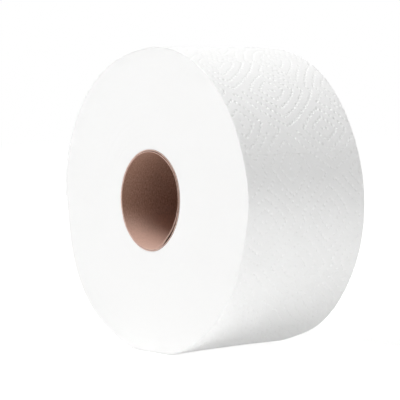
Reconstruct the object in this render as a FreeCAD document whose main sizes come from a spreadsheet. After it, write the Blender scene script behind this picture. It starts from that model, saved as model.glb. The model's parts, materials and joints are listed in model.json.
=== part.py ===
import FreeCAD, Part
import math
import os
import Sketcher

# A wide toilet paper roll, lying on its rolling side. Its axis runs along Y through the origin, which is
# the middle of the core's bore. +Z is up, the near end faces -Y, and the tail lies on the -X side.

os.makedirs("parts", exist_ok=True)
doc = FreeCAD.newDocument("toilet_paper_roll")

# Driving sizes in millimetres, angles in degrees from straight up towards +X, and one count.
DRIVING = (
    ("roll_radius", 95, "outer radius of the wound paper"),
    ("roll_width", 90, "width of the web and of the core, which are sawn to length together"),
    ("core_bore_radius", 30, "radius of the hole that a holder's spindle goes through"),
    ("ply_thickness", 0.6, "thickness of one of the two plies of the core's board"),
    ("glue_film", 0.1, "room for the glue between the core and the first turn"),
    ("tail_step", 0.6, "thickness of the last sheet, seen as a step at its loose end"),
    ("sheet_length", 134, "length of a sheet, from one line of perforation to the next"),
    ("slit_length", 3.7, "length of a slit in a line of perforation"),
    ("slit_tie", 0.8, "paper left between two slits"),
    ("slit_width", 0.2, "how far a slit stands open"),
    ("slit_depth", 0.9, "depth of a slit below the roll's full radius"),
    ("flat_depth", 1.75, "how far the roll has sunk into its flat spot"),
    ("shoulder_radius", 60, "radius of the bend from the flat spot into the round"),
    ("edge_wear", 0.5, "how far the last turn's sawn edges are worn off"),
    ("drawn_turns", 6, "bands of turns that show on each end"),
    ("turn_gap", 1.0, "width of the gap between two bands"),
    ("turn_relief", 0.6, "depth of that gap"),
    ("parting_gap", 0.4, "widest gap between the plies where they have parted"),
    ("parting_depth", 5, "how deep the plies have parted, from the near end"),
    ("parting_middle", 122, "angle of the middle of the parting"),
    ("parting_spread", 76, "angle from one end of the parting to the other"),
)

# Sizes that follow from the driving ones.
DERIVED = (
    ("glue_line_radius", "=core_bore_radius + ply_thickness"),
    ("core_radius", "=glue_line_radius + ply_thickness"),
    ("web_bore_radius", "=core_radius + glue_film"),
    ("turn_pitch", "=(roll_radius - web_bore_radius) / drawn_turns"),
    ("flat_distance", "=roll_radius - flat_depth"),
    ("sheet_angle", "=sheet_length / roll_radius * 180 / pi"),
    ("slit_pitch", "=slit_length + slit_tie"),
    ("slits_across", "=floor((roll_width - slit_tie) / slit_pitch)"),
    ("lines_round", "=floor(360 / sheet_angle)"),
    ("parting_radius", "=glue_line_radius + parting_gap / 2"),
    ("parting_chord", "=parting_radius * sin(parting_spread / 2 * 1 deg)"),
    ("parting_rise", "=parting_radius * (1 - cos(parting_spread / 2 * 1 deg)) - parting_gap"),
    ("parting_inner_radius", "=(parting_chord ^ 2 + parting_rise ^ 2) / (2 * parting_rise)"),
)

sheet = doc.addObject("Spreadsheet::Sheet", "sizes")
for row, (name, value, meaning) in enumerate(DRIVING, start=1):
    sheet.set(f"A{row}", meaning)
    sheet.set(f"B{row}", str(value))
    sheet.setAlias(f"B{row}", name)
for row, (name, formula) in enumerate(DERIVED, start=len(DRIVING) + 1):
    sheet.set(f"B{row}", formula)
    sheet.setAlias(f"B{row}", name)
doc.recompute()


# How a sketch's constraints number a curve's points, and the sketch's own X axis and origin.
START = 1
END = START + 1
CENTRE = END + 1
X_AXIS = ORIGIN = -1


def size(name):
    """The value of a cell, for the first guess of a sketch that the cell then drives."""
    return float(sheet.get(name))


def datum(body, role):
    """One of a body's own origin planes and axes."""
    return next(f for f in body.Origin.OriginFeatures if f.Role == role)


def end_sketch(body, name, offset):
    """A sketch across the roll's axis, moved towards the near end. Its X is +X and its Y is +Z."""
    sketch = body.newObject("Sketcher::SketchObject", name)
    sketch.AttachmentSupport = (datum(body, "XZ_Plane"), "")
    sketch.MapMode = "FlatFace"
    sketch.setExpression("AttachmentOffset.Base.z", offset)
    return sketch


def add_arc(sketch, centre, radius, start, end):
    """An arc that runs counter-clockwise between two angles, in degrees from the sketch's X."""
    circle = Part.Circle(FreeCAD.Vector(*centre, 0), FreeCAD.Vector(0, 0, 1), radius)
    return sketch.addGeometry(Part.ArcOfCircle(circle, math.radians(start), math.radians(end)))


def add_line(sketch, start, end):
    return sketch.addGeometry(Part.LineSegment(FreeCAD.Vector(*start, 0), FreeCAD.Vector(*end, 0)))


def add_circle(sketch, name, cell):
    """A circle about the axis whose radius is a cell's."""
    circle = Part.Circle(FreeCAD.Vector(), FreeCAD.Vector(0, 0, 1), size(cell))
    index = sketch.addGeometry(circle)
    sketch.addConstraint(Sketcher.Constraint("Coincident", index, CENTRE, ORIGIN, START))
    drive(sketch, name, Sketcher.Constraint("Radius", index, size(cell)), f"sizes.{cell}")
    return index


def drive(sketch, name, constraint, formula):
    """Adds a dimension and binds it to the sheet."""
    index = sketch.addConstraint(constraint)
    sketch.renameConstraint(index, name)
    sketch.setExpression(f"Constraints.{name}", formula)


def coincide(sketch, first, first_point, second, second_point):
    sketch.addConstraint(Sketcher.Constraint("Coincident", first, first_point, second, second_point))


def put_on_axis(sketch, index, point):
    sketch.addConstraint(Sketcher.Constraint("PointOnObject", index, point, X_AXIS))


# Cardboard core: a tube of two plies, pressed together over the whole length but for the parting.
core = doc.addObject("PartDesign::Body", "cardboard_core")
core.Label = "cardboard_core"

core_ring = end_sketch(core, "core_ring", "0")
add_circle(core_ring, "bore", "core_bore_radius")
add_circle(core_ring, "outside", "core_radius")
core_tube = core.newObject("PartDesign::Pad", "core_tube")
core_tube.Profile = core_ring
core_tube.SideType = "Symmetric"
core_tube.setExpression("Length", "sizes.roll_width")
doc.recompute()

# The parting is a crescent: its outer edge runs along the outer ply, and its inner edge is a flatter arc.
parting_shape = end_sketch(core, "parting_shape", "sizes.roll_width / 2")
middle = 90 - size("parting_middle")
half_spread = size("parting_spread") / 2
outer_edge = add_arc(parting_shape, (0, 0), size("parting_radius"),
                     middle - half_spread, middle + half_spread)
inner_half = math.degrees(math.asin(size("parting_chord") / size("parting_inner_radius")))
shift = size("parting_radius") - size("parting_gap") - size("parting_inner_radius")
inner_centre = (shift * math.cos(math.radians(middle)), shift * math.sin(math.radians(middle)))
inner_edge = add_arc(parting_shape, inner_centre, size("parting_inner_radius"),
                     middle - inner_half, middle + inner_half)
coincide(parting_shape, outer_edge, CENTRE, ORIGIN, START)
coincide(parting_shape, inner_edge, START, outer_edge, START)
coincide(parting_shape, inner_edge, END, outer_edge, END)
drive(parting_shape, "outer_radius",
      Sketcher.Constraint("Radius", outer_edge, size("parting_radius")), "sizes.parting_radius")
drive(parting_shape, "inner_radius",
      Sketcher.Constraint("Radius", inner_edge, size("parting_inner_radius")), "sizes.parting_inner_radius")
for name, point, side in (("low_end", START, -1), ("high_end", END, 1)):
    angle = math.radians(middle + side * half_spread)
    spoke_end = (size("parting_radius") * math.cos(angle), size("parting_radius") * math.sin(angle))
    spoke = add_line(parting_shape, (0, 0), spoke_end)
    parting_shape.setConstruction(spoke, True)
    coincide(parting_shape, spoke, START, ORIGIN, START)
    coincide(parting_shape, spoke, END, outer_edge, point)
    drive(parting_shape, name, Sketcher.Constraint("Angle", X_AXIS, START, spoke, START, angle),
          f"(90 - sizes.parting_middle + {side} * sizes.parting_spread / 2) * 1 deg")
parting = core.newObject("PartDesign::Pocket", "parting")
parting.Profile = parting_shape
parting.setExpression("Length", "sizes.parting_depth")
doc.recompute()

# Wound paper: the last turn is two half circles, so its loose end stands one sheet proud at -X. The lower
# half circle is broken by the flat spot, with a bend of larger curvature on each side of it.
paper = doc.addObject("PartDesign::Body", "wound_paper")
paper.Label = "wound_paper"

roll_radius = size("roll_radius")
tail_step = size("tail_step")
bend = size("shoulder_radius")
lower_radius = roll_radius - tail_step / 2
lower_centre = (tail_step / 2, 0)
rise = bend - size("flat_distance")
reach = math.sqrt((lower_radius - bend) ** 2 - rise ** 2)
lean = math.degrees(math.atan2(reach, -rise))

outline = end_sketch(paper, "outline", "0")
over = add_arc(outline, (0, 0), roll_radius, 0, 180)
loose_end = add_line(outline, (-roll_radius, 0), (tail_step - roll_radius, 0))
back_low = add_arc(outline, lower_centre, lower_radius, 180, 270 - lean)
back_bend = add_arc(outline, (lower_centre[0] - reach, rise), bend, 270 - lean, 270)
flat_spot = add_line(outline, (lower_centre[0] - reach, rise - bend), (lower_centre[0] + reach, rise - bend))
front_bend = add_arc(outline, (lower_centre[0] + reach, rise), bend, 270, 270 + lean)
front_low = add_arc(outline, lower_centre, lower_radius, 270 + lean, 360)
add_circle(outline, "bore", "web_bore_radius")

coincide(outline, over, CENTRE, ORIGIN, START)
put_on_axis(outline, over, START)
put_on_axis(outline, over, END)
coincide(outline, loose_end, START, over, END)
coincide(outline, loose_end, END, back_low, START)
outline.addConstraint(Sketcher.Constraint("Horizontal", loose_end))
coincide(outline, front_low, END, over, START)
coincide(outline, front_low, CENTRE, back_low, CENTRE)
put_on_axis(outline, back_low, CENTRE)
outline.addConstraint(Sketcher.Constraint("Tangent", back_low, END, back_bend, START))
outline.addConstraint(Sketcher.Constraint("Tangent", back_bend, END, flat_spot, START))
outline.addConstraint(Sketcher.Constraint("Tangent", flat_spot, END, front_bend, START))
outline.addConstraint(Sketcher.Constraint("Tangent", front_bend, END, front_low, START))
outline.addConstraint(Sketcher.Constraint("Equal", back_low, front_low))
outline.addConstraint(Sketcher.Constraint("Equal", back_bend, front_bend))
drive(outline, "over_radius", Sketcher.Constraint("Radius", over, roll_radius), "sizes.roll_radius")
drive(outline, "step", Sketcher.Constraint("DistanceX", loose_end, START, loose_end, END, tail_step),
      "sizes.tail_step")
drive(outline, "bend_radius", Sketcher.Constraint("Radius", back_bend, bend), "sizes.shoulder_radius")
drive(outline, "flat_distance",
      Sketcher.Constraint("DistanceY", flat_spot, START, ORIGIN, START, size("flat_distance")),
      "sizes.flat_distance")

web = paper.newObject("PartDesign::Pad", "web")
web.Profile = outline
web.SideType = "Symmetric"
web.setExpression("Length", "sizes.roll_width")
doc.recompute()


def sawn_outer_edges(shape):
    """Names of the edges round both ends, without the bore's two circles and the tail's short steps."""
    names = []
    for number, edge in enumerate(shape.Edges, start=1):
        runs_along_roll = edge.BoundBox.YLength > tail_step
        is_step = edge.Length < 2 * tail_step
        if not (runs_along_roll or edge.isClosed() or is_step):
            names.append(f"Edge{number}")
    return names


worn_edges = paper.newObject("PartDesign::Chamfer", "worn_edges")
worn_edges.Base = (web, sawn_outer_edges(web.Shape))
worn_edges.setExpression("Size", "sizes.edge_wear")
doc.recompute()

# Perforation: the sheets of the last turn are parted by lines of slits, counted back from the loose end. The
# first slit's own sketch is turned so that its X axis runs out through the first line, nearest the near end.
slit_shape = end_sketch(paper, "slit_shape", "(sizes.slits_across - 1) / 2 * sizes.slit_pitch")
slit_shape.setExpression("AttachmentOffset.Rotation.Angle", "(180 - sizes.sheet_angle) * 1 deg")
slit_bottom = roll_radius - size("slit_depth")
slit_top = roll_radius + size("slit_depth")
half_slit = size("slit_width") / 2
corners = [(slit_bottom, -half_slit), (slit_top, -half_slit), (slit_top, half_slit), (slit_bottom, half_slit)]
sides = [add_line(slit_shape, corners[i], corners[(i + 1) % 4]) for i in range(4)]
for side, following in zip(sides, sides[1:] + sides[:1]):
    coincide(slit_shape, side, END, following, START)
for side, direction in zip(sides, ("Horizontal", "Vertical", "Horizontal")):
    slit_shape.addConstraint(Sketcher.Constraint(direction, side))
slit_shape.addConstraint(Sketcher.Constraint("Symmetric", sides[3], START, sides[3], END, X_AXIS))
drive(slit_shape, "slit_width",
      Sketcher.Constraint("Distance", sides[1], size("slit_width")), "sizes.slit_width")
drive(slit_shape, "slit_bottom",
      Sketcher.Constraint("DistanceX", ORIGIN, START, sides[0], START, slit_bottom),
      "sizes.roll_radius - sizes.slit_depth")
drive(slit_shape, "slit_top",
      Sketcher.Constraint("DistanceX", ORIGIN, START, sides[0], END, slit_top),
      "sizes.roll_radius + sizes.slit_depth")

first_slit = paper.newObject("PartDesign::Pocket", "first_slit")
first_slit.Profile = slit_shape
first_slit.SideType = "Symmetric"
first_slit.setExpression("Length", "sizes.slit_length")
doc.recompute()

perforation = paper.newObject("PartDesign::MultiTransform", "perforation")
line_of_slits = paper.newObject("PartDesign::LinearPattern", "line_of_slits")
line_of_slits.Direction = (datum(paper, "Y_Axis"), [""])
line_of_slits.Mode = "Spacing"
line_of_slits.setExpression("Offset", "sizes.slit_pitch")
line_of_slits.setExpression("Occurrences", "sizes.slits_across")
lines_round_roll = paper.newObject("PartDesign::PolarPattern", "lines_round_roll")
lines_round_roll.Axis = (datum(paper, "Y_Axis"), [""])
lines_round_roll.Mode = "Spacing"
lines_round_roll.setExpression("Offset", "sizes.sheet_angle")
lines_round_roll.setExpression("Occurrences", "sizes.lines_round")
perforation.Originals = [first_slit]
perforation.Transformations = [line_of_slits, lines_round_roll]
paper.Tip = perforation
doc.recompute()

# The gap between bands of turns is one spiral of half circles: the upper ones are about the axis, and each
# lower one joins an upper one to the next one in.
gap_shape = end_sketch(paper, "gap_shape", "sizes.roll_width / 2")
turn_pitch = size("turn_pitch")
outer_turn = int(size("drawn_turns")) - 1


def spiral_side(side, offset, offset_formula):
    """Draws one side of the spiral from its outer end inwards, and returns its first and last arcs."""
    uppers = []
    for turn in range(outer_turn, 0, -1):
        radius = size("web_bore_radius") + turn * turn_pitch + offset
        upper = add_arc(gap_shape, (0, 0), radius, 0, 180)
        coincide(gap_shape, upper, CENTRE, ORIGIN, START)
        put_on_axis(gap_shape, upper, START)
        put_on_axis(gap_shape, upper, END)
        drive(gap_shape, f"{side}_{turn}",
              Sketcher.Constraint("Radius", upper, radius),
              f"sizes.web_bore_radius + {turn} * sizes.turn_pitch{offset_formula}")
        if uppers:
            lower = add_arc(gap_shape, (turn_pitch / 2, 0), radius + turn_pitch / 2, 180, 360)
            coincide(gap_shape, lower, START, upper, END)
            coincide(gap_shape, lower, END, uppers[-1], START)
            put_on_axis(gap_shape, lower, CENTRE)
        uppers.append(upper)
    return uppers[0], uppers[-1]


turn_gap = size("turn_gap")
inner_first, inner_last = spiral_side("inner", 0, "")
outer_first, outer_last = spiral_side("outer", turn_gap, " + sizes.turn_gap")
outer_radius = size("web_bore_radius") + outer_turn * turn_pitch
inner_radius = size("web_bore_radius") + turn_pitch
outer_cap = add_line(gap_shape, (-outer_radius, 0), (-outer_radius - turn_gap, 0))
coincide(gap_shape, outer_cap, START, inner_first, END)
coincide(gap_shape, outer_cap, END, outer_first, END)
inner_cap = add_line(gap_shape, (inner_radius, 0), (inner_radius + turn_gap, 0))
coincide(gap_shape, inner_cap, START, inner_last, START)
coincide(gap_shape, inner_cap, END, outer_last, START)

near_gap = paper.newObject("PartDesign::Pocket", "near_gap")
near_gap.Profile = gap_shape
near_gap.setExpression("Length", "sizes.turn_relief")
doc.recompute()

both_gaps = paper.newObject("PartDesign::Mirrored", "both_gaps")
both_gaps.Originals = [near_gap]
both_gaps.MirrorPlane = (datum(paper, "XZ_Plane"), [""])
paper.Tip = both_gaps
doc.recompute()

# Nothing is written unless every object has worked and every cut has taken material away.
for item in doc.Objects:
    if "Invalid" in item.State or "Error" in item.State:
        raise RuntimeError(f"{item.Name} has failed: {item.State}")
cuts = ((core_tube, parting), (web, worn_edges), (worn_edges, first_slit), (first_slit, perforation),
        (perforation, near_gap), (near_gap, both_gaps))
for before, after in cuts:
    if after.Shape.Volume >= before.Shape.Volume:
        raise RuntimeError(f"{after.Name} takes nothing away")

for body in (core, paper):
    body.Placement = FreeCAD.Placement()
    shape = body.Shape
    if shape.isNull() or not shape.isValid() or len(shape.Solids) != 1:
        raise RuntimeError(f"{body.Label} is not one valid solid")
    shape.exportStep(f"parts/{body.Label}.step")
    print(body.Label, round(shape.Volume, 1), shape.BoundBox)
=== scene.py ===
import json
import math

import bpy
import numpy as np
from mathutils import Matrix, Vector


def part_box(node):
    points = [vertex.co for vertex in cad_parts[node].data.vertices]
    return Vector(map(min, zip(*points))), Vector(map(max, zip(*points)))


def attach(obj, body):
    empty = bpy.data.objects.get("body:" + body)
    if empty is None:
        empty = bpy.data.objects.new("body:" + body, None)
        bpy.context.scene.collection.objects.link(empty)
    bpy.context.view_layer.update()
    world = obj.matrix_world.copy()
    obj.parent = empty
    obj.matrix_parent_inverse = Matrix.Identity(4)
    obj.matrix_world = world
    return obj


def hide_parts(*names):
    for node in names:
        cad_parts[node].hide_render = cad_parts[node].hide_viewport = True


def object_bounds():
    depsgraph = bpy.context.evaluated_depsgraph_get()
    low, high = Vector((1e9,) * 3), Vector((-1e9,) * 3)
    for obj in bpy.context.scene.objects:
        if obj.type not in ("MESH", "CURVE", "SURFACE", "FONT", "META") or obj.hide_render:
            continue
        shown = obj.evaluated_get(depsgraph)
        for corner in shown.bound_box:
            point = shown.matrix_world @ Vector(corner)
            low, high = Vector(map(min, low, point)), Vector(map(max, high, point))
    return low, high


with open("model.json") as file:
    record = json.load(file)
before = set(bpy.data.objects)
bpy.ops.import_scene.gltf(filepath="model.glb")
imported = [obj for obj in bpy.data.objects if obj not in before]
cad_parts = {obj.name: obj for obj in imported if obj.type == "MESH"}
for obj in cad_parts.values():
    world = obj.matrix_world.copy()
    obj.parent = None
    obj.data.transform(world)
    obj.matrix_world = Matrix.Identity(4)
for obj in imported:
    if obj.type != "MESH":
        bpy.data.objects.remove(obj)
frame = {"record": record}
cad_low, cad_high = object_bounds()

# Camera: it looks at the roll from in front of the near end and from its right, a little above the axis.
# Its distance and lens are the ones at which the far end looks as much smaller as it does in the photograph.
CAMERA_AZIMUTH = math.radians(52.39)
CAMERA_ELEVATION = math.radians(2.67)
CAMERA_ROLL = math.radians(-0.25)
CAMERA_DISTANCE = 1.2143
CAMERA_LENS = 174.3
PHOTO_SIDE = 400
AXIS_ORIGIN_PIXEL = (209.0, 198.7)


def camera_axes(azimuth, elevation, roll):
    """Right, up and backward directions: level axes turned about Z and tipped down, then rolled."""
    back = np.array([math.sin(azimuth) * math.cos(elevation),
                     -math.cos(azimuth) * math.cos(elevation),
                     math.sin(elevation)])
    level = np.array([math.cos(azimuth), math.sin(azimuth), 0.0])
    upright = np.cross(back, level)
    right = math.cos(roll) * level + math.sin(roll) * upright
    up = math.cos(roll) * upright - math.sin(roll) * level
    return right, up, back


def placed(right, up, back, place):
    """The matrix that puts a thing at a place with its own X, Y and Z along the three directions."""
    turn = Matrix(np.column_stack([right, up, back]).tolist())
    return Matrix.Translation([float(part) for part in place]) @ turn.to_4x4()


right, up, back = camera_axes(CAMERA_AZIMUTH, CAMERA_ELEVATION, CAMERA_ROLL)
camera_data = bpy.data.cameras.new("photo_camera")
camera_data.lens = CAMERA_LENS
camera_data.shift_x = (PHOTO_SIDE / 2 - AXIS_ORIGIN_PIXEL[0]) / PHOTO_SIDE
camera_data.shift_y = (AXIS_ORIGIN_PIXEL[1] - PHOTO_SIDE / 2) / PHOTO_SIDE
camera_data.clip_end = 100
camera = bpy.data.objects.new("photo_camera", camera_data)
camera.matrix_world = placed(right, up, back, back * CAMERA_DISTANCE)
bpy.context.scene.collection.objects.link(camera)
bpy.context.scene.camera = camera
bpy.context.scene.view_settings.view_transform = "Standard"

# Cardboard core: two strips of brown board, wound one over the other round a mandrel and glued into a tube.
# The saw left both rims pale and furry. At the near end the plies have parted along the right of the rim,
# where the inner one leans into the bore, and the tube stands a little aside and isn't quite round.
core_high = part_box("cardboard_core")[1]
HALF_WIDTH = core_high.y
CORE_RADIUS = core_high.x
BORE_RADIUS = next(m for m in frame["record"]["mounts"] if m["name"] == "core_bore")["dims"]["r_mm"] / 1000
PLY = (CORE_RADIUS - BORE_RADIUS) / 2
CORE_STEPS_ROUND = 432
CORE_STEPS_ALONG = 22
RIM_STEPS = 4
RIM_FUR = 0.00007
FUR_WAVES = (9, 170)
FUR_SHARES = (1.6, 0.9)
PARTING_START = math.radians(-30)
PARTING_OPEN = math.radians(30)
PARTING_SPREAD = math.radians(85)
PARTING_WIDEST = math.radians(141)
PARTING_END = math.radians(163)
PARTING_LEAN = 0.0016
PARTING_SHARE = 0.36
PARTING_DEPTH = 0.009
CORE_ASIDE = (-0.0010, 0.0003)
PRESSED_ANGLE = math.radians(115)
PRESSED_DEPTH = 0.0012
PRESSED_REACH = (0.5, 1.0)
PLY_GAP = 0.00020


def link_piece(name, mesh, material, nodes, crease=50):
    """Puts a finished mesh in the scene as a piece of the roll, smooth but for edges sharper than crease."""
    mesh.polygons.foreach_set("use_smooth", np.ones(len(mesh.polygons), bool))
    mesh.set_sharp_from_angle(angle=math.radians(crease))
    mesh.materials.append(material)
    piece = bpy.data.objects.new(name, mesh)
    bpy.context.scene.collection.objects.link(piece)
    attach(piece, "root")
    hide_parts(*nodes)
    return piece


def grid_mesh(name, points, chart, closed_u=True, closed_v=True):
    """Quads between neighbours of an n by m grid of points. A closed direction joins its last row to its
    first, and an open u direction is capped by the polygons of its two end rows. The chart gives each
    grid corner's distance along the surface, in metres, and has one more row where a direction closes."""
    n, m = points.shape[:2]
    last_i, last_j = n if closed_u else n - 1, m if closed_v else m - 1
    i, j = np.meshgrid(np.arange(last_i), np.arange(last_j), indexing="ij")
    corners = ((i, j), (i + 1, j), (i + 1, j + 1), (i, j + 1))
    loops = np.stack([(a % n) * m + b % m for a, b in corners], axis=-1).reshape(-1)
    uv = np.stack([chart[a, b] for a, b in corners], axis=2).reshape(-1, 2)
    starts = np.arange(0, len(loops), 4)
    if not closed_u:
        ends = np.concatenate([np.arange(m), (n - 1) * m + np.arange(m)[::-1]])
        starts = np.concatenate([starts, len(loops) + np.array([0, m])])
        uv = np.concatenate([uv, chart[0, :m], chart[n - 1, :m][::-1]])
        loops = np.concatenate([loops, ends])
    mesh = bpy.data.meshes.new(name)
    mesh.vertices.add(n * m)
    mesh.loops.add(len(loops))
    mesh.polygons.add(len(starts))
    mesh.vertices.foreach_set("co", points.reshape(-1).astype(np.float32))
    mesh.loops.foreach_set("vertex_index", loops.astype(np.int32))
    mesh.polygons.foreach_set("loop_start", starts.astype(np.int32))
    mesh.update(calc_edges=True)
    mesh.uv_layers.new(name="surface").uv.foreach_set("vector", uv.reshape(-1).astype(np.float32))
    mesh.validate()
    return mesh


def wheel_points(theta, radius, y):
    """Points at angles theta from straight up towards +X, at a radius and a place along the axis."""
    return np.stack(np.broadcast_arrays(radius * np.sin(theta), y, radius * np.cos(theta)), axis=-1)


def set_aside(points):
    """Moves points in place as the core stands: at the near end it is a little aside and pressed in at its
    lower right, and both fade to nothing at the far end."""
    share = (HALF_WIDTH - points[..., 1]) / (2 * HALF_WIDTH)
    across, height = math.sin(PRESSED_ANGLE), math.cos(PRESSED_ANGLE)
    towards = (points[..., 0] * across + points[..., 2] * height) / CORE_RADIUS
    pressed = PRESSED_DEPTH * smoothstep(*PRESSED_REACH, towards)
    points[..., 0] += (CORE_ASIDE[0] - across * pressed) * share
    points[..., 2] += (CORE_ASIDE[1] - height * pressed) * share
    return points


def smoothstep(low, high, value):
    """0 below low, 1 above high, and the cubic 3t^2 - 2t^3 between them."""
    t = np.clip((value - low) / (high - low), 0, 1)
    return t * t * (3 - 2 * t)


def wander(theta, seed, coarse, fine):
    """A smooth random curve round the circle: a sum of cosines of whole numbers of waves from coarse to
    fine, each with its own phase, whose height falls with the wave number. Its steepest swing is about 1."""
    rng = np.random.default_rng(seed)
    waves = np.arange(coarse, fine)
    phases = rng.uniform(0, 2 * np.pi, len(waves))
    heights = rng.uniform(0.4, 1.0, len(waves)) / np.sqrt(waves)
    total = np.tensordot(heights, np.cos(waves.reshape(-1, *[1] * np.ndim(theta)) * theta
                                         + phases.reshape(-1, *[1] * np.ndim(theta))), axes=1)
    return total / np.sqrt((heights ** 2).sum() / 2) / 2


def ply_mesh(name, inner, outer, lean, seed):
    """A tube whose section is a loop: out along the bore side, over the far rim, back along the outside
    and over the near rim. Round the loop each point keeps its radius, less the gap outside a leaning ply
    and less its lean, which opens at the top, is widest at the lower right and falls off with depth from
    the near rim; rim points are furred by a random curve of the angle."""
    along = HALF_WIDTH * np.sin(np.linspace(-np.pi / 2, np.pi / 2, CORE_STEPS_ALONG))
    across = np.linspace(0, 1, RIM_STEPS + 2)[1:-1]
    y = np.concatenate([along, np.full(RIM_STEPS, HALF_WIDTH), along[::-1], np.full(RIM_STEPS, -HALF_WIDTH)])
    share = np.concatenate([0 * along, across, 0 * along + 1, across[::-1]])
    theta = np.linspace(0, 2 * np.pi, CORE_STEPS_ROUND, endpoint=False)[:, None]
    on_rim = (np.abs(y) > HALF_WIDTH - 1e-9) * 1.0
    rounding = 1 - (2 * share - 1) ** 2
    fur = RIM_FUR * (wander(theta, seed, *FUR_WAVES) - 1) * on_rim
    fur = fur * (FUR_SHARES[0] - FUR_SHARES[1] * rounding)
    turn = (theta + np.pi) % (2 * np.pi) - np.pi
    bend = PARTING_SHARE * smoothstep(PARTING_START, PARTING_OPEN, turn)
    bend = bend + (1 - PARTING_SHARE) * smoothstep(PARTING_SPREAD, PARTING_WIDEST, turn)
    bend = bend * smoothstep(PARTING_END, PARTING_WIDEST, turn)
    depth = np.exp(-((y + HALF_WIDTH) / PARTING_DEPTH) ** 2)
    gap = PLY_GAP * (lean > 0)
    radius = inner + (outer - inner - gap) * share - lean * bend * depth
    points = set_aside(wheel_points(theta, radius, y * (1 + fur / HALF_WIDTH)))
    length_round = np.linspace(0, 2 * np.pi * BORE_RADIUS, CORE_STEPS_ROUND + 1)
    section = np.concatenate([[0], np.cumsum(np.hypot(np.diff(y), np.diff(share) * (outer - inner)))])
    section = np.append(section, section[-1] + PLY / (RIM_STEPS + 1))
    chart = np.stack(np.meshgrid(length_round, section, indexing="ij"), axis=-1)
    return grid_mesh(name, points[:, ::-1], chart[:, ::-1])


def node(tree, kind, **settings):
    """Adds a shader node; settings are its properties, and those named in_... are its input sockets."""
    made = tree.nodes.new(kind)
    for key, value in settings.items():
        if key.startswith("in_"):
            made.inputs[key[3:].replace("_", " ")].default_value = value
        else:
            setattr(made, key, value)
    return made


def new_material(name, colour, roughness):
    """A material with one Principled shader, and the shader itself."""
    material = bpy.data.materials.new(name)
    material.use_nodes = True
    shader = material.node_tree.nodes["Principled BSDF"]
    shader.inputs["Base Color"].default_value = (*colour, 1)
    shader.inputs["Roughness"].default_value = roughness
    return material, shader


BOARD_DARK = (0.25, 0.135, 0.093)
BOARD_PALE = (0.50, 0.305, 0.23)
# Dark board of the outer ply and of each ply's outside: glue tone, darkened further as painted shade
# of the narrow gaps between the parted plies and between the core and the paper.
GLUE_AND_SHADE_DARK = (0.06, 0.03, 0.02)
GLUE_AND_SHADE_PALE = (0.12, 0.065, 0.045)
RIM_COLOUR = (0.74, 0.53, 0.455)
# Painted light: a pale pool of light painted on the lower wall of the bore, where the key lamp shines in.
PAINTED_LIGHT_COLOUR = (0.78, 0.54, 0.45)
PAINTED_LIGHT_SHARE = 0.85
PAINTED_LIGHT_HEIGHTS = (0.0, -0.95 * BORE_RADIUS)
PAINTED_LIGHT_PATCHES = (0.8, 0.6)
SAWN_REACH = (HALF_WIDTH - 0.00025, HALF_WIDTH - 0.00015)
OUTSIDE_MIDDLE = 3 * HALF_WIDTH + PLY
OUTSIDE_REACH = HALF_WIDTH - 0.0001
FIBRE_SCALE = (500, 1800, 1)
CLOUD_SCALE = 900.0
FIBRE_TONES = (0.36, 0.64)


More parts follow.
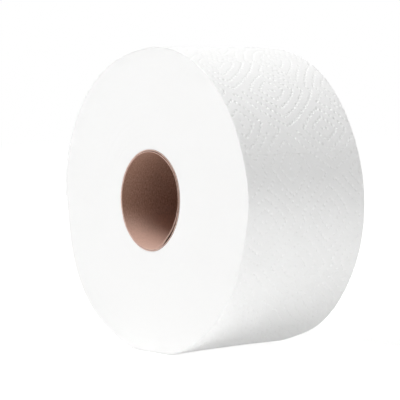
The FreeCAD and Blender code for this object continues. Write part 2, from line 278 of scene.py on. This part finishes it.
def board_material(name, dark, pale, painted_light_share):
    """Grey-brown recycled board: long fibres that lie round the tube, fine specks, a paler sawn rim, and
    painted light: a pale, patchy pool of light painted on the lower wall of the bore. A ply's outside,
    known by its place round the section in the surface chart, is dark with glue and with painted shade
    of the narrow gap it faces."""
    material, shader = new_material(name, pale, 0.85)
    shader.inputs["Diffuse Roughness"].default_value = 1.0
    shader.inputs["Specular IOR Level"].default_value = 0.25
    tree = material.node_tree
    link = tree.links.new
    chart = node(tree, "ShaderNodeUVMap", uv_map="surface")
    stretch = node(tree, "ShaderNodeMapping", in_Scale=FIBRE_SCALE)
    link(chart.outputs["UV"], stretch.inputs["Vector"])
    fibres = node(tree, "ShaderNodeTexNoise", in_Scale=1.0, in_Detail=5.0, in_Roughness=0.62)
    link(stretch.outputs["Vector"], fibres.inputs["Vector"])
    clouds = node(tree, "ShaderNodeTexNoise", in_Scale=CLOUD_SCALE, in_Detail=3.0)
    link(chart.outputs["UV"], clouds.inputs["Vector"])
    tone = node(tree, "ShaderNodeValToRGB")
    tone.color_ramp.elements[0].position = FIBRE_TONES[0]
    tone.color_ramp.elements[0].color = (*dark, 1)
    tone.color_ramp.elements[1].position = FIBRE_TONES[1]
    tone.color_ramp.elements[1].color = (*pale, 1)
    both = node(tree, "ShaderNodeMix", in_Factor=0.4)
    link(fibres.outputs["Fac"], both.inputs["A"])
    link(clouds.outputs["Fac"], both.inputs["B"])
    link(both.outputs["Result"], tone.inputs["Fac"])
    place = node(tree, "ShaderNodeTexCoord")
    apart = node(tree, "ShaderNodeSeparateXYZ")
    link(place.outputs["Object"], apart.inputs["Vector"])
    from_middle = node(tree, "ShaderNodeMath", operation="ABSOLUTE")
    link(apart.outputs["Y"], from_middle.inputs[0])
    at_rim = node(tree, "ShaderNodeMapRange")
    at_rim.inputs["From Min"].default_value = SAWN_REACH[0]
    at_rim.inputs["From Max"].default_value = SAWN_REACH[1]
    link(from_middle.outputs["Value"], at_rim.inputs["Value"])
    # Painted light: the lower wall of the bore is painted paler the further down it lies, in fibre patches.
    lower_wall_light = node(tree, "ShaderNodeMapRange", interpolation_type="SMOOTHSTEP")
    lower_wall_light.inputs["From Min"].default_value = PAINTED_LIGHT_HEIGHTS[0]
    lower_wall_light.inputs["From Max"].default_value = PAINTED_LIGHT_HEIGHTS[1]
    lower_wall_light.inputs["To Max"].default_value = painted_light_share
    link(apart.outputs["Z"], lower_wall_light.inputs["Value"])
    patchy = node(tree, "ShaderNodeMath", operation="MULTIPLY_ADD")
    patchy.inputs[1].default_value = PAINTED_LIGHT_PATCHES[0]
    patchy.inputs[2].default_value = PAINTED_LIGHT_PATCHES[1]
    link(fibres.outputs["Fac"], patchy.inputs[0])
    painted_light = node(tree, "ShaderNodeMath", operation="MULTIPLY", use_clamp=True)
    link(lower_wall_light.outputs["Result"], painted_light.inputs[0])
    link(patchy.outputs["Value"], painted_light.inputs[1])
    with_painted_light = node(tree, "ShaderNodeMix", data_type="RGBA")
    with_painted_light.inputs["B"].default_value = (*PAINTED_LIGHT_COLOUR, 1)
    link(painted_light.outputs["Value"], with_painted_light.inputs["Factor"])
    link(tone.outputs["Color"], with_painted_light.inputs["A"])
    paint = node(tree, "ShaderNodeMix", data_type="RGBA")
    paint.inputs["B"].default_value = (*RIM_COLOUR, 1)
    link(at_rim.outputs["Result"], paint.inputs["Factor"])
    link(with_painted_light.outputs["Result"], paint.inputs["A"])
    side = node(tree, "ShaderNodeSeparateXYZ")
    link(chart.outputs["UV"], side.inputs["Vector"])
    # The ply's outside is painted dark: glue, and painted shade of the narrow gap it faces.
    outside = node(tree, "ShaderNodeMath", operation="COMPARE")
    outside.inputs[1].default_value = OUTSIDE_MIDDLE
    outside.inputs[2].default_value = OUTSIDE_REACH
    link(side.outputs["Y"], outside.inputs[0])
    glue_and_shade = node(tree, "ShaderNodeMix", data_type="RGBA")
    glue_and_shade.inputs["B"].default_value = (*GLUE_AND_SHADE_DARK, 1)
    link(outside.outputs["Value"], glue_and_shade.inputs["Factor"])
    link(paint.outputs["Result"], glue_and_shade.inputs["A"])
    link(glue_and_shade.outputs["Result"], shader.inputs["Base Color"])
    bump = node(tree, "ShaderNodeBump", in_Strength=0.5, in_Distance=0.0002)
    link(fibres.outputs["Fac"], bump.inputs["Height"])
    link(bump.outputs["Normal"], shader.inputs["Normal"])
    return material


# The outer ply's board is painted dark: glue, and painted shade in the gap between the parted plies.
glue_and_shade_board = board_material("glue_and_shade_board", GLUE_AND_SHADE_DARK, GLUE_AND_SHADE_PALE, 0.0)
# The bore board carries the painted light on the lower wall of the bore.
bore_board = board_material("bore_board", BOARD_DARK, BOARD_PALE, PAINTED_LIGHT_SHARE)
outer_ply_mesh = ply_mesh("core_outer_ply", BORE_RADIUS + PLY, CORE_RADIUS, 0.0, 11)
inner_ply_mesh = ply_mesh("core_inner_ply", BORE_RADIUS, BORE_RADIUS + PLY, PARTING_LEAN, 12)
link_piece("core_outer_ply", outer_ply_mesh, glue_and_shade_board, ["cardboard_core"])
link_piece("core_inner_ply", inner_ply_mesh, bore_board, ["cardboard_core"])

# Wound turns: the strip of two-ply tissue lies in several hundred turns on the core, and the saw left their
# edges as two smooth ends, on which looser and tighter turns stand a hair higher or lower than the rest.
paper_low, paper_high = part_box("wound_paper")
ROLL_RADIUS = paper_high.x
FLAT_DISTANCE = -paper_low.z
SHEET = 0.0006
SHOULDER_RADIUS = 0.060
WEB_BORE_RADIUS = CORE_RADIUS + 0.0001
TAIL_ANGLE = 1.5 * np.pi
ENDS_STEPS_ROUND = 300
ENDS_STEPS_OUT = 90
FINE_STEPS = 6
FINE_OUT = 0.02
DRAWN_TURNS = 6
TURN_GAP = 0.0010
TURN_GAP_DEPTH = 0.00004
BAND_DEPTH = 0.00003
RIM_FADE = (1.0, 0.88)
SLOW_DEPTH = 0.00012
GROOVE_WIDTH = 0.00025
GROOVE_DEPTH = 0.0002


def roll_outline(theta):
    """Radius of the roll's outline. Over the top it is a circle about the axis; under it, a circle whose
    centre lies half a sheet towards +X, so that the outline steps in by one sheet at the tail. The flat
    spot is the line at the outline's lowest height, and each bend beside it is a circle that touches
    both the line and the lower circle."""
    across, height = np.sin(theta), np.cos(theta)
    shift = SHEET / 2
    lower_radius = ROLL_RADIUS - shift
    lower = shift * across + np.sqrt(lower_radius ** 2 - (shift * height) ** 2)
    rise = SHOULDER_RADIUS - FLAT_DISTANCE
    reach = math.sqrt((lower_radius - SHOULDER_RADIUS) ** 2 - rise ** 2)
    lean = math.atan2(reach, -rise)
    side = np.where(across > 0, 1.0, -1.0)
    centre_x = shift + side * reach
    along = across * centre_x + height * rise
    off = across * rise - height * centre_x
    bend = along + np.sqrt(np.maximum(SHOULDER_RADIUS ** 2 - off ** 2, 0))
    flat = FLAT_DISTANCE / np.maximum(-height, 0.3)
    over_flat = (height < 0) & (np.abs(flat * across - shift) < reach)
    touch = np.arctan2(np.abs(lower * across - shift), -lower * height)
    over_bend = (height < 0) & (touch < lean)
    return np.select([height >= 0, over_flat, over_bend], [ROLL_RADIUS + 0 * theta, flat, bend], lower)


# How the soft roll has gone out of round: angle, reach to each side, height, and which end it shows on.
SWELLS = (
    (229, 17, 0.0017, -1),
    (261, 12, -0.0017, -1),
    (308, 18, 0.0007, -1),
    (350, 15, -0.0015, -1),
    (87, 10, 0.0009, -1),
    (105, 10, -0.0008, -1),
    (105, 13, 0.0006, 1),
    (162, 14, -0.0024, 1),
    (33, 14, 0.0006, 1),
    (65, 13, -0.0007, 1),
)


def out_of_round(theta, y):
    """Sum of soft swells and hollows: each a bell curve of the angle, at full height at its own end and
    fading to nothing at the other."""
    total = np.zeros(np.broadcast(theta, y).shape)
    for middle, reach, height, end in SWELLS:
        turn = (np.degrees(theta) - middle + 180) % 360 - 180
        total = total + height * np.exp(-(turn / reach) ** 2) * smoothstep(-1.3, 1.0, end * y / HALF_WIDTH)
    return total


def end_relief(theta, radius):
    """How far a point of an end lies behind its rim. Turns are followed as one spiral, so height is a
    random curve of radius less one gap per turn of angle, over a slow wander of the whole end; the gap
    between bands is a shallow valley along the spiral, and a narrow groove rings the core."""
    pitch = (ROLL_RADIUS - WEB_BORE_RADIUS) / DRAWN_TURNS
    out = (radius - WEB_BORE_RADIUS) / (ROLL_RADIUS - WEB_BORE_RADIUS)
    spiral = (radius - WEB_BORE_RADIUS) / pitch + ((theta - TAIL_ANGLE) % (2 * np.pi)) / (2 * np.pi)
    bands = wander(spiral * 2 * np.pi / (DRAWN_TURNS + 1), 21, 3, 90)
    slow = np.cos(2 * theta + 1.2) * out + 0.6 * np.cos(3 * theta - 0.5) * np.sin(np.pi * out)
    nearest = np.abs((spiral + 0.5) % 1 - 0.5) * pitch
    valley = np.exp(-(nearest / TURN_GAP) ** 2) * smoothstep(0.02, 0.1, out) * smoothstep(1.0, 0.9, out)
    fade = smoothstep(*RIM_FADE, out)
    groove = np.exp(-((radius - WEB_BORE_RADIUS) / GROOVE_WIDTH) ** 2)
    relief = BAND_DEPTH * (1 + bands) + TURN_GAP_DEPTH * valley + SLOW_DEPTH * (1 + slow)
    return relief * fade + GROOVE_DEPTH * groove


def turns_mesh():
    """A ring whose section is a loop: across the near end from bore to rim, along under the last turn,
    back across the far end, and along the bore. Each end is set back by its relief, and the paper goes
    aside with the core, less and less from the bore out to the rim."""
    out = np.concatenate([np.linspace(0, FINE_OUT, FINE_STEPS + 1)[:-1],
                          np.linspace(FINE_OUT, 1, ENDS_STEPS_OUT - FINE_STEPS)])
    under = np.linspace(-1, 1, 7)[1:-1]
    share = np.concatenate([out, 0 * under + 1, out[::-1], 0 * under])
    side = np.concatenate([0 * out - 1, under, 0 * out + 1, under[::-1]])
    theta = np.linspace(0, 2 * np.pi, ENDS_STEPS_ROUND, endpoint=False)[:, None]
    y = HALF_WIDTH * side
    rim = roll_outline(theta) + out_of_round(theta, y) - SHEET
    radius = WEB_BORE_RADIUS + (rim - WEB_BORE_RADIUS) * share
    set_back = end_relief(theta, radius) * (np.abs(side) > 0.99)
    points = wheel_points(theta, radius, y - side * set_back)
    points += (set_aside(points.copy()) - points) * (1 - share[:, None])
    length_round = np.linspace(0, 2 * np.pi, ENDS_STEPS_ROUND + 1)[:, None] * ROLL_RADIUS
    section = WEB_BORE_RADIUS + (ROLL_RADIUS - WEB_BORE_RADIUS) * share + (side + 1) * 0.0003
    section = np.append(section, section[0])
    chart = np.stack(np.broadcast_arrays(length_round, section), axis=-1)
    return grid_mesh("wound_turns", points, chart)


TISSUE_COLOUR = (0.90, 0.90, 0.895)


def turns_material():
    """Sawn tissue: thousands of ply edges as fine lines that follow the turns, frayed by short fibres."""
    material, shader = new_material("tissue_ends", TISSUE_COLOUR, 0.95)
    tree = material.node_tree
    link = tree.links.new
    chart = node(tree, "ShaderNodeUVMap", uv_map="surface")
    stretch = node(tree, "ShaderNodeMapping", in_Scale=(18, 2600, 1))
    link(chart.outputs["UV"], stretch.inputs["Vector"])
    edges = node(tree, "ShaderNodeTexNoise", in_Scale=1.0, in_Detail=4.0, in_Roughness=0.6)
    link(stretch.outputs["Vector"], edges.inputs["Vector"])
    place = node(tree, "ShaderNodeTexCoord")
    fray = node(tree, "ShaderNodeTexNoise", in_Scale=1400.0, in_Detail=3.0)
    link(place.outputs["Object"], fray.inputs["Vector"])
    both = node(tree, "ShaderNodeMix", in_Factor=0.35)
    link(edges.outputs["Fac"], both.inputs["A"])
    link(fray.outputs["Fac"], both.inputs["B"])
    bump = node(tree, "ShaderNodeBump", in_Strength=0.25, in_Distance=0.0002)
    link(both.outputs["Result"], bump.inputs["Height"])
    link(bump.outputs["Normal"], shader.inputs["Normal"])
    return material


link_piece("wound_turns", turns_mesh(), turns_material(), ["wound_paper"])

# Last turn: the sheets of two-ply tissue that lie outermost, held together by ties of paper between the
# slits of the perforation. A steel roller has pressed rings of dots into them, nested about centres that
# stand in a staggered lattice, and the tissue swells a little between the rings.
SHEET_LENGTH = 0.134
TURN_LENGTH = 2 * np.pi * ROLL_RADIUS
TUCK = 0.012
MESH_STEP = 0.000385
SHEET_WALL = 0.00054
EMBOSS_HALF_ALONG = 0.0280
EMBOSS_HALF_ACROSS = 0.0280
EMBOSS_START = (0.0747 + 0.5 * np.pi * ROLL_RADIUS, -0.0045)
LYING_PITCH = (0.0062, 0.0073)
UPRIGHT_PITCH = (0.0074, 0.0065)
UPRIGHT_SHIFT = (-0.0036, -0.0063)
RING_FIRST = 1.22
RING_COUNT = 5
RING_ROUND = 1.19
RING_OVERLAP = 1.95
DOT_PITCH = 0.0031
DOT_RADIUS = 0.00060
DOT_DEPTH = 0.00048
DOT_REACH = 0.002
DOT_PATCH = 5
WORN_SHARE = 0.38
WORN_FROM = (math.radians(60), math.radians(80))
WORN_TO = (math.radians(92), math.radians(145))
VALLEY_WIDTH = 0.0012
VALLEY_DEPTH = 0.000012
SLIT_PITCH = 0.0045
SLIT_TIE = 0.0008
SLIT_HALF = 0.00004
SLIT_MARGIN = 0.001
TAIL_FALL = 0.004
TAIL_SINK = 0.0001
EDGE_REACH = 0.0005
EDGE_DROP = 0.00012


def lattice_centres():
    """Centres of the rings and each one's ring pitch along and across the strip: every second crossing of
    a net of half pitches, over the turn and its margins. Every second slanting row of centres has upright
    rings and stands a little aside; the rings of the others lie."""
    i, j = np.meshgrid(np.arange(-12, 20), np.arange(-3, 6), indexing="ij")
    i, j = i[(i + j) % 2 == 0], j[(i + j) % 2 == 0]
    place = np.stack([EMBOSS_START[0] + i * EMBOSS_HALF_ALONG,
                      EMBOSS_START[1] + j * EMBOSS_HALF_ACROSS], axis=-1)
    upright = ((i - j) % 4 == 2)[:, None]
    return place + np.where(upright, UPRIGHT_SHIFT, 0), np.where(upright, UPRIGHT_PITCH, LYING_PITCH)


def ring_measure(offset, pitch):
    """Ring number at offsets from a centre: the rounded-diamond norm, in which each offset is divided by
    its ring pitch and the two are added as powers of RING_ROUND."""
    u, v = np.abs(offset[0]) / pitch[0], np.abs(offset[1]) / pitch[1]
    return (u ** RING_ROUND + v ** RING_ROUND) ** (1 / RING_ROUND)


def ring_claim(offset, pitch):
    """How strongly a centre claims a point for its rings, least being strongest: the ring number, less the
    overlap below a lying centre and plus it below an upright one."""
    below = np.clip(offset[0] / LYING_PITCH[0], 0, 1)
    return ring_measure(offset, pitch) + np.where(pitch[0] > pitch[1], RING_OVERLAP, -RING_OVERLAP) * below


def ring_field(along, across):
    """The strongest claim at each point, and the ring number there by the centre that makes it."""
    claim = np.full(np.broadcast(along, across).shape, 99.0)
    ring = np.zeros(claim.shape)
    for centre, pitch in zip(centres, pitches):
        offset = (along - centre[0], across - centre[1])
        own = ring_claim(offset, pitch)
        ring = np.where(own < claim, ring_measure(offset, pitch), ring)
        claim = np.minimum(own, claim)
    return claim, ring


def ring_dots(centre, pitch):
    """A centre's dots: a pair side by side, then on ring k as many equal steps to each side of the diamond
    as the dot pitch allows, pushed out onto the rounded diamond, less those that another centre claims."""
    pair = np.array([[-0.5, 0.5], [0, 0]]) if pitch[0] > pitch[1] else np.array([[0, 0], [-0.5, 0.5]])
    dots = [pair * DOT_PITCH]
    for size in RING_FIRST + np.arange(RING_COUNT):
        steps = round(size * math.hypot(*pitch) / DOT_PITCH)
        t = np.arange(steps) / steps
        for u, v in ((1, 0), (0, 1), (-1, 0), (0, -1)):
            offset = np.stack([(1 - t) * u - t * v, (1 - t) * v + t * u]) * pitch[:, None]
            dots.append(offset * size / ring_measure(offset, pitch))
    offset = np.concatenate(dots, axis=1)
    place = centre[:, None] + offset
    return place[:, ring_claim(offset, pitch) <= ring_field(*place)[0] + 1e-6].T


centres, pitches = lattice_centres()
dots = np.concatenate([ring_dots(centre, pitch) for centre, pitch in zip(centres, pitches)])


def embossing(along, across):
    """Depth pressed into a grid of the sheet, whose rows run at along and columns at across. Each dot is a
    bell curve, laid over the patch of grid round it; the tissue also sinks along the rings themselves."""
    rows, columns = len(along), len(across)
    row_step, column_step = along[1] - along[0], across[1] - across[0]
    near = dots[(dots[:, 0] > along[0] - DOT_REACH) & (dots[:, 0] < along[-1] + DOT_REACH)
                & (np.abs(dots[:, 1]) < HALF_WIDTH + DOT_REACH)]
    patch = np.arange(-DOT_PATCH, DOT_PATCH + 1)
    row = np.rint((near[:, 0] - along[0]) / row_step).astype(int)[:, None, None]
    column = np.rint((near[:, 1] - across[0]) / column_step).astype(int)[:, None, None]
    row, column = np.broadcast_arrays(row + patch[:, None], column + patch)
    off_row = along[0] + row * row_step - near[:, 0, None, None]
    off_column = across[0] + column * column_step - near[:, 1, None, None]
    bell = np.exp(-(off_row ** 2 + off_column ** 2) / DOT_RADIUS ** 2)
    inside = (row >= 0) & (row < rows) & (column >= 0) & (column < columns)
    pressed = np.zeros((rows, columns))
    np.maximum.at(pressed, (row[inside], column[inside]), bell[inside])
    ring = ring_field(along[:, None], across[None, :])[1]
    off_ring = np.abs((ring - RING_FIRST + 0.5) % 1 - 0.5) * LYING_PITCH[0] * 0.8
    valley = np.exp(-(off_ring / VALLEY_WIDTH) ** 2)
    return DOT_DEPTH * pressed + VALLEY_DEPTH * valley * (1 - pressed)


def sheet_mesh(name, start, end):
    """One sheet as a thin closed slab. Its rows run round the roll and its columns across: first a rail on
    the underside near edge, then the embossed upper side, then a rail on the far edge, so that one long
    quad a row makes the underside. The end rows follow the slits, which leave ties between them. The
    embossing is worn shallower at the right of the roll, where it has been handled."""
    rows = round((end - start) / MESH_STEP) + 1
    columns = round(2 * HALF_WIDTH / MESH_STEP) + 1
    along = np.linspace(start, end, rows)
    across = np.linspace(-HALF_WIDTH, HALF_WIDTH, columns)
    theta = (TAIL_ANGLE + along / ROLL_RADIUS)[:, None]
    crest = roll_outline(theta % (2 * np.pi)) + out_of_round(theta, across)
    under_tail = smoothstep(TURN_LENGTH - TAIL_FALL, TURN_LENGTH, along)[:, None]
    crest = crest - np.where(along[:, None] > TURN_LENGTH - 1e-6, SHEET, 0) - TAIL_SINK * under_tail
    turn = theta % (2 * np.pi)
    worn = WORN_SHARE * smoothstep(*WORN_FROM, turn) * smoothstep(*WORN_TO[::-1], turn)
    top = crest - embossing(along, across) * (1 - worn)
    edge = np.abs(np.abs(across) - HALF_WIDTH)
    top = top - EDGE_DROP * np.exp(-(edge / EDGE_REACH) ** 2)
    rails = crest[:, [0, -1]] - SHEET_WALL
    radius = np.concatenate([rails[:, :1], top, rails[:, 1:]], axis=1)
    y = np.concatenate([[across[0]], across, [across[-1]]])
    slit = np.abs((y / SLIT_PITCH) % 1 - 0.5) < 0.5 * (1 - SLIT_TIE / SLIT_PITCH)
    slit = slit & (np.abs(y) < HALF_WIDTH - SLIT_MARGIN)
    pulled = np.zeros((rows, len(y)))
    if start > 0:
        pulled[0] = slit * SLIT_HALF
    pulled[-1] = slit * -SLIT_HALF
    points = wheel_points(theta + pulled / ROLL_RADIUS, radius, y)
    chart = np.stack(np.meshgrid(along, np.append(y, y[-1] + 0.0005), indexing="ij"), axis=-1)
    return grid_mesh(name, points, chart, closed_u=False)


def tissue_material():
    """Creped two-ply tissue: matt white, with fine wrinkles across the strip and a loose fibre nap."""
    material, shader = new_material("tissue", TISSUE_COLOUR, 0.95)
    tree = material.node_tree
    link = tree.links.new
    chart = node(tree, "ShaderNodeUVMap", uv_map="surface")
    stretch = node(tree, "ShaderNodeMapping", in_Scale=(3200, 900, 1))
    link(chart.outputs["UV"], stretch.inputs["Vector"])
    crepe = node(tree, "ShaderNodeTexNoise", in_Scale=1.0, in_Detail=4.0, in_Roughness=0.55)
    link(stretch.outputs["Vector"], crepe.inputs["Vector"])
    nap = node(tree, "ShaderNodeTexNoise", in_Scale=520.0, in_Detail=3.0)
    link(chart.outputs["UV"], nap.inputs["Vector"])
    both = node(tree, "ShaderNodeMix", in_Factor=0.4)
    link(crepe.outputs["Fac"], both.inputs["A"])
    link(nap.outputs["Fac"], both.inputs["B"])
    bump = node(tree, "ShaderNodeBump", in_Strength=0.35, in_Distance=0.00025)
    link(both.outputs["Result"], bump.inputs["Height"])
    link(bump.outputs["Normal"], shader.inputs["Normal"])
    return material


tissue = tissue_material()
line_places = np.append(np.arange(0, TURN_LENGTH, SHEET_LENGTH), TURN_LENGTH + TUCK)
for number, (start, end) in enumerate(zip(line_places[:-1], line_places[1:]), start=1):
    name = f"sheet_{number}"
    link_piece(name, sheet_mesh(name, start, end), tissue, ["wound_paper"])

# Studio: a white floor under the roll and nothing else in sight. A strip lamp above and in front lights the
# sawn end and the top, and three weaker lamps, behind the top, beside the rolling face and under the roll,
# leave that face in a light grey.
FLOOR_HALF = 6.0
FLOOR_COLOUR = (0.86, 0.86, 0.86)
FLOOR_LIFT_NEAR = 0.65
FLOOR_LIFT_FAR = 1.0
FLOOR_LIFT_REACH = (0.15, 0.6)


def seen_directly(tree):
    """1 for rays from the camera and for those that mirrors and glass pass on, 0 for scattered light."""
    path = node(tree, "ShaderNodeLightPath")
    two = node(tree, "ShaderNodeMath", operation="ADD")
    three = node(tree, "ShaderNodeMath", operation="ADD", use_clamp=True)
    tree.links.new(path.outputs["Is Camera Ray"], two.inputs[0])
    tree.links.new(path.outputs["Is Glossy Ray"], two.inputs[1])
    tree.links.new(two.outputs["Value"], three.inputs[0])
    tree.links.new(path.outputs["Is Transmission Ray"], three.inputs[1])
    return three.outputs["Value"]


def floor_material():
    """Matt white floor. What the camera sees of it is lifted, more so away from the roll where the lamps
    don't reach, so that it is white all over but for the roll's own shadow."""
    material = bpy.data.materials.new("studio_floor")
    material.use_nodes = True
    tree = material.node_tree
    tree.nodes.clear()
    link = tree.links.new
    matt = node(tree, "ShaderNodeBsdfDiffuse")
    matt.inputs["Color"].default_value = (*FLOOR_COLOUR, 1)
    lift = node(tree, "ShaderNodeEmission")
    amount = node(tree, "ShaderNodeMath", operation="MULTIPLY")
    place = node(tree, "ShaderNodeTexCoord")
    apart = node(tree, "ShaderNodeVectorMath", operation="LENGTH")
    link(place.outputs["Object"], apart.inputs[0])
    share = node(tree, "ShaderNodeMapRange")
    share.inputs["From Min"].default_value = FLOOR_LIFT_REACH[0]
    share.inputs["From Max"].default_value = FLOOR_LIFT_REACH[1]
    share.inputs["To Min"].default_value = FLOOR_LIFT_NEAR
    share.inputs["To Max"].default_value = FLOOR_LIFT_FAR
    link(apart.outputs["Value"], share.inputs["Value"])
    link(share.outputs["Result"], amount.inputs[1])
    link(seen_directly(tree), amount.inputs[0])
    link(amount.outputs["Value"], lift.inputs["Strength"])
    add = node(tree, "ShaderNodeAddShader")
    link(matt.outputs["BSDF"], add.inputs[0])
    link(lift.outputs["Emission"], add.inputs[1])
    out = node(tree, "ShaderNodeOutputMaterial")
    link(add.outputs["Shader"], out.inputs["Surface"])
    return material


corner = np.array([[-1, -1, 0], [1, -1, 0], [1, 1, 0], [-1, 1, 0]]) * FLOOR_HALF
corner[:, 2] = cad_low.z
floor_mesh = bpy.data.meshes.new("studio_floor")
floor_mesh.from_pydata(corner.tolist(), [], [(0, 1, 2, 3)])
floor_mesh.materials.append(floor_material())
floor = bpy.data.objects.new("studio_floor", floor_mesh)
bpy.context.scene.collection.objects.link(floor)

world = bpy.data.worlds.new("studio_sky")
bpy.context.scene.world = world
world.use_nodes = True
sky_tree = world.node_tree
sky = sky_tree.nodes["Background"]
sky.inputs["Color"].default_value = (1, 1, 1, 1)
sky_tree.links.new(seen_directly(sky_tree), sky.inputs["Strength"])


def soft_box(name, place, aim, width, length, power):
    """An area lamp that faces a point and stays out of the picture; its length runs up and to the front."""
    lamp_data = bpy.data.lights.new(name, "AREA")
    lamp_data.shape = "RECTANGLE"
    lamp_data.size = width
    lamp_data.size_y = length
    lamp_data.energy = power
    lamp = bpy.data.objects.new(name, lamp_data)
    outward = np.subtract(place, aim) / np.linalg.norm(np.subtract(place, aim))
    sideways = np.cross((0, 1, 0), outward)
    sideways /= np.linalg.norm(sideways)
    lamp.matrix_world = placed(sideways, np.cross(outward, sideways), outward, place)
    lamp.visible_camera = False
    bpy.context.scene.collection.objects.link(lamp)


TABLE_CLEARANCE = 0.0004
TABLE_PLACE = (0, 0, cad_low.z + TABLE_CLEARANCE)
soft_box("key_lamp", (-0.3, -1.1, 1.6), (0, 0, 0), 0.4, 1.2, 36.1)
soft_box("back_lamp", (-0.2, 1.0, 1.6), (0, 0, 0), 0.8, 0.8, 9.2)
soft_box("side_lamp", (1.5, -0.15, 0.35), (0, 0, 0), 1.2, 1.2, 10.5)
soft_box("table_lamp", TABLE_PLACE, (0, 0, 1), 0.6, 0.6, 0.215)
